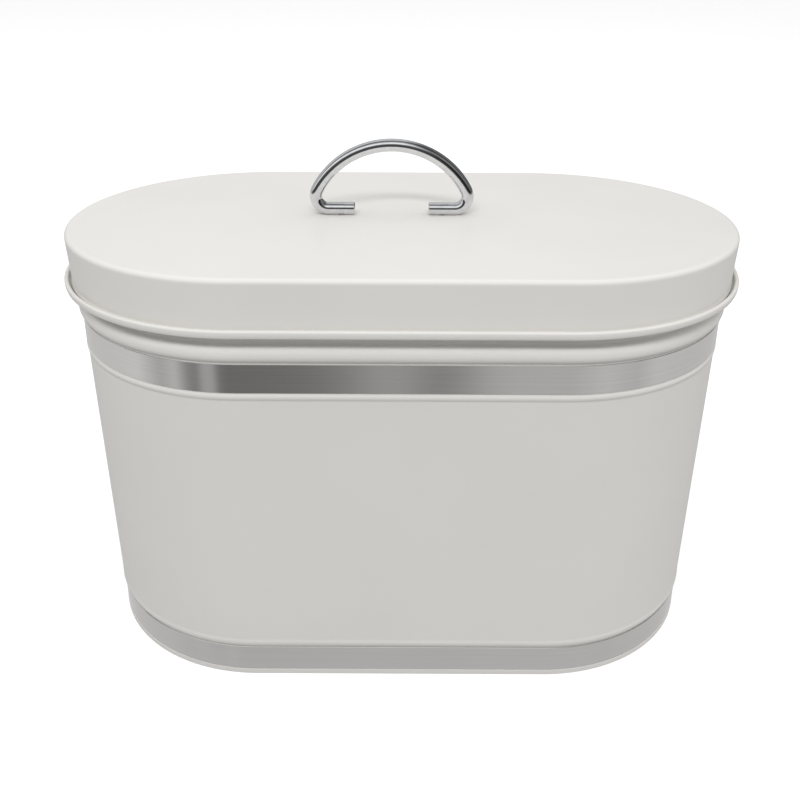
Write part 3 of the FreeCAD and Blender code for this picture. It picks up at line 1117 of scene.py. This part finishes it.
@dataclass
class Lid:
    """The drawn lid, its wire handle and the fasteners under it."""

    shop: Workshop
    sheet: float = 0.5 * MM
    top: float = 223.0 * MM
    radius: float = 95.0 * MM
    edge_curve: float = 2.2 * MM
    skirt_radius: float = 93.8 * MM
    hem_bottom: float = 196.8 * MM
    hem_top: float = 199.0 * MM
    hem_curve: float = 1.35 * MM
    softness: float = 0.3 * MM
    handle_place: Span = (-5.3 * MM, 4.5 * MM)
    wire_radius: float = 3.25 * MM
    wire_end: float = 19.0 * MM
    wire_chamfer: float = 0.45 * MM
    wire_end_scale: float = 0.86
    foot_flat: float = 0.2 * MM
    foot_bend: float = 6.4 * MM
    half_width: float = 39.05 * MM
    side_curve: float = 7.5 * MM
    rise: float = 26.6 * MM
    screw_offset: float = 26.0 * MM
    hole_radius: float = 2.25 * MM

    def build_shell(self) -> bpy.types.Object:
        """Builds the lid's shell and drills it for the screws.

        Returns:
            The shell.
        """
        path = SheetPath([Vector((self.skirt_radius, self.hem_bottom))])
        path.arc(self.skirt_radius, self.hem_top, self.hem_curve, Swell.RIGHT)
        path.line(self.radius, self.top - self.edge_curve)
        path.arc(self.radius - self.edge_curve, self.top, self.edge_curve, Swell.RIGHT)
        path.line(0.0, self.top).relaxed(self.softness)
        blank = self.shop.ring("lid_blank", path.cut_face(self.sheet), self.shop.enamel)
        start = blank.data
        bpy.data.objects.remove(blank)
        across, back = self.handle_place
        return self.shop.drill.cook(
            "lid_cover", start, self.shop.enamel, Hole_Radius=self.hole_radius,
            Middle=(across, back, self.top - self.sheet / 2), Apart=self.screw_offset * 2,
            Depth=self.sheet * 4)

    def wire_line(self) -> list[Vector]:
        """The wire's centre line from its right cut end over the arch to its left one.

        Returns:
            Points in the frame, a few degrees apart on the bends.
        """
        level = self.top + self.wire_radius - self.foot_flat
        spring = level + self.foot_bend
        run = self.half_width - self.side_curve
        crown = (run ** 2 + self.rise ** 2 - self.side_curve ** 2) / (
            2 * (self.rise - self.side_curve))
        lean = math.atan2(run, crown - self.rise)
        quarter = math.pi / 2
        half = [(self.wire_end, level), (self.wire_end + self.wire_chamfer, level)]
        for across, up, curve, start, finish, step in (
                (self.half_width - self.foot_bend, spring, self.foot_bend, -quarter, 0.0, 3.0),
                (run, spring, self.side_curve, 0.0, quarter - lean, 2.0),
                (0.0, spring + self.rise - crown, crown, quarter - lean, quarter, 1.5)):
            count = math.ceil(math.degrees(finish - start) / step)
            angles = [start + (finish - start) * turn / count for turn in range(count + 1)]
            half += [(across + curve * math.cos(angle), up + curve * math.sin(angle))
                     for angle in angles]
        doubled = 0.01 * MM
        kept = [half[0]] + [here for before, here in zip(half, half[1:])
                            if math.dist(before, here) > doubled]
        across, back = self.handle_place
        whole = kept + [(-x, z) for x, z in reversed(kept[:-1])]
        return [Vector((across + x, back, z)) for x, z in whole]

    def build_handle(self) -> bpy.types.Object:
        """Builds the wire handle.

        Returns:
            The handle.
        """
        points = self.wire_line()
        curve = bpy.data.curves.new("wire_line", "CURVE")
        curve.dimensions = "3D"
        spline = curve.splines.new("POLY")
        spline.points.add(len(points) - 1)
        for mark, point in zip(spline.points, points):
            mark.co = (*point, 1.0)
        return self.shop.wire.cook(
            "wire_handle", curve, self.shop.chrome, Wire_Radius=self.wire_radius,
            Seat_Height=self.top, End_Scale=self.wire_end_scale)

    def build(self) -> None:
        """Builds the lid's pieces and hands them over."""
        hand_over(self.build_shell(), Body.LID, Slot.ENAMEL, "lid_shell")
        hand_over(self.build_handle(), Body.LID, Slot.CHROME, "handle")
        for side in ("left", "right"):
            for kind in ("screw", "washer"):
                dress(f"handle_{kind}_{side}", self.shop.zinc)
                LOG.info("handle_%s_%s: keeps its model mesh, zinc plated", kind, side)


# ------------------------------------------------------------------ studio


@dataclass(frozen=True)
class SoftBox:
    """A large rectangular lamp that gives soft light."""

    name: str
    place: Place
    aim: Place
    size: Span
    watts: float

    def hang(self) -> None:
        """Hangs the lamp so that it faces its aim."""
        lamp = bpy.data.lights.new(self.name, "AREA")
        lamp.shape = "RECTANGLE"
        lamp.size, lamp.size_y = self.size
        lamp.energy = self.watts
        holder = bpy.data.objects.new(self.name, lamp)
        holder.visible_glossy = False
        holder.location = self.place
        holder.rotation_mode = "QUATERNION"
        way = Vector(self.aim) - Vector(self.place)
        holder.rotation_quaternion = way.to_track_quat("-Z", "Y")
        bpy.context.scene.collection.objects.link(holder)


@dataclass(frozen=True)
class Sky:
    """The soft surroundings: one light for surfaces, one picture for reflections.

    Well below the horizon the picture is a ring of grey streaks over a pale floor. Above the
    horizon its greys run from the front over the bin to the back, darker on the right.
    """

    base_light: float = 0.22
    top_light: float = 0.50
    top_focus: float = 1.5
    side_light: float = 0.68
    side_shift: float = 0.12
    floor_grey: float = 0.64
    floor_edge: Span = (0.50, 0.68)
    horizon_grey: float = 0.56
    horizon_edge: Span = (-0.34, -0.22)
    dusk: float = 0.48
    dusk_edge: Span = (-0.3, 0.6)
    ceiling_edge: Span = (-0.03, 0.03)
    right_shade: float = 0.75
    right_edge: Span = (0.10, 0.45)
    room_greys: Stops = (
        (0.00, 0.55), (0.20, 0.74), (0.28, 0.80), (0.33, 0.54), (0.36, 0.66), (0.385, 0.34),
        (0.40, 0.28), (0.415, 0.50), (0.43, 0.50), (0.442, 0.24), (0.46, 0.20), (0.478, 0.22),
        (0.487, 0.27), (0.497, 0.48), (0.502, 0.46), (0.5075, 0.24), (0.512, 0.34),
        (0.519, 0.60), (0.54, 0.60), (0.60, 0.70), (0.66, 0.62), (0.70, 0.74), (0.85, 0.66),
        (1.00, 0.55))
    ceiling_greys: Stops = (
        (0.00, 0.06), (0.09, 0.08), (0.15, 0.20), (0.20, 0.90), (0.24, 1.15), (0.29, 1.00),
        (0.35, 0.60), (0.41, 0.28), (0.47, 0.14), (0.53, 0.24), (0.60, 0.70), (0.70, 0.74),
        (0.80, 0.50), (1.00, 0.50))

    @staticmethod
    def greys(wiring: Wiring, place: Term, stops: Stops) -> Term:
        """A run of greys.

        Args:
            wiring: the tree.
            place: where along the run, from 0 to 1.
            stops: places with their brightness.

        Returns:
            The brightness at the place.
        """
        return wiring.term("ShaderNodeValToRGB", "Color",
                           {"stops": [(spot, (grey,) * 3) for spot, grey in stops]},
                           {"Fac": place})

    def mirrored(self, wiring: Wiring, across: Term, near: Term, up: Term) -> Term:
        """The picture that reflections show.

        Args:
            wiring: the tree.
            across: how far a ray points to the right.
            near: how far it points to the front.
            up: how far it points up.

        Returns:
            The brightness in the ray's direction.
        """
        bearing = across.angle_over(near) / (2 * math.pi) + 0.5
        streaks = self.greys(wiring, bearing, self.room_greys)
        below = streaks + (self.floor_grey - streaks) * (-1.0 * up).ramp(*self.floor_edge)
        overhead = up.angle_over(near) / math.pi
        ceiling = self.greys(wiring, overhead, self.ceiling_greys) * (
            1.0 - across.ramp(*self.right_edge) * self.right_shade)
        horizon = self.horizon_grey - near.ramp(*self.dusk_edge) * self.dusk
        level = below + (horizon - below) * up.ramp(*self.horizon_edge)
        return level + (ceiling - level) * up.ramp(*self.ceiling_edge)

    def hang(self) -> None:
        """Puts the surroundings into the scene, plain white where they are seen directly."""
        world = bpy.data.worlds.new("studio_sky")
        bpy.context.scene.world = world
        world.use_nodes = True
        wiring = Wiring(world.node_tree)
        way = wiring.add("ShaderNodeSeparateXYZ", None, {
            "Vector": wiring.add("ShaderNodeTexCoord").outputs["Generated"]})
        across, ahead, up = (Term(wiring, way.outputs[axis]) for axis in ("X", "Y", "Z"))
        rays = wiring.add("ShaderNodeLightPath").outputs
        sideways = across + self.side_shift
        soft = (self.base_light + up.at_least(0.0).power(self.top_focus) * self.top_light
                + sideways * sideways * self.side_light)
        picture = self.mirrored(wiring, across, -1.0 * ahead, up)
        light = soft + (picture - soft) * Term(wiring, rays["Is Glossy Ray"])
        seen = light + (1.0 - light) * Term(wiring, rays["Is Camera Ray"])
        glow = wiring.add("ShaderNodeBackground", None, {
            "Color": (1.0, 1.0, 1.0, 1.0), "Strength": seen})
        wiring.add("ShaderNodeOutputWorld", None, {"Surface": glow.outputs[0]})


@dataclass
class Studio:
    """The table, the light and the camera."""

    table_reach: float = 14.0
    sky: Sky = Sky()
    lamps: tuple[SoftBox, ...] = (
        SoftBox("top_box", (-0.1, 0.2, 1.8), (0.0, 0.0, 0.15), (1.1, 0.8), 2.2),
        SoftBox("front_box", (-0.3, -2.55, 2.8), (0.0, 0.0, 0.1), (2.4, 0.6), 64.0))
    camera_place: Place = (-0.7 * MM, -488.1 * MM, 368.2 * MM)
    camera_tilt: float = 66.26
    camera_roll: float = 0.26
    camera_reach: Span = (0.01, 60.0)
    sensor_width: float = 36.0
    lens: float = 44.1
    shift_up: float = -0.075

    def lay_table(self) -> None:
        """Lays the white table."""
        mesh = bpy.data.meshes.new("table_top")
        corners = ((-1, -1), (1, -1), (1, 1), (-1, 1))
        mesh.from_pydata([(x * self.table_reach, y * self.table_reach, 0) for x, y in corners],
                         [], [(0, 1, 2, 3)])
        mesh.materials.append(TableTop().material())
        table = bpy.data.objects.new("table_top", mesh)
        bpy.context.scene.collection.objects.link(table)
        table.visible_glossy = False

    def set_camera(self) -> None:
        """Sets up the camera and plain display of the light."""
        data = bpy.data.cameras.new("camera")
        data.sensor_width = self.sensor_width
        data.lens = self.lens
        data.shift_y = self.shift_up
        data.dof.use_dof = False
        data.clip_start, data.clip_end = self.camera_reach
        camera = bpy.data.objects.new("camera", data)
        tilt = Matrix.Rotation(math.radians(self.camera_tilt), 4, "X")
        roll = Matrix.Rotation(math.radians(self.camera_roll), 4, "Z")
        camera.matrix_world = Matrix.Translation(self.camera_place) @ tilt @ roll
        bpy.context.scene.collection.objects.link(camera)
        bpy.context.scene.camera = camera
        bpy.context.scene.view_settings.view_transform = "Standard"

    def build(self) -> None:
        """Sets up the whole studio."""
        self.lay_table()
        self.sky.hang()
        for lamp in self.lamps:
            lamp.hang()
        self.set_camera()


def main() -> None:
    """Builds everything in order."""
    logging.basicConfig(level=logging.INFO, format="%(name)s: %(message)s")
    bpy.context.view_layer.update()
    shop = Workshop()
    BinBody(shop).build()
    Lid(shop).build()
    Studio().build()


if __name__ == "__main__":
    main()
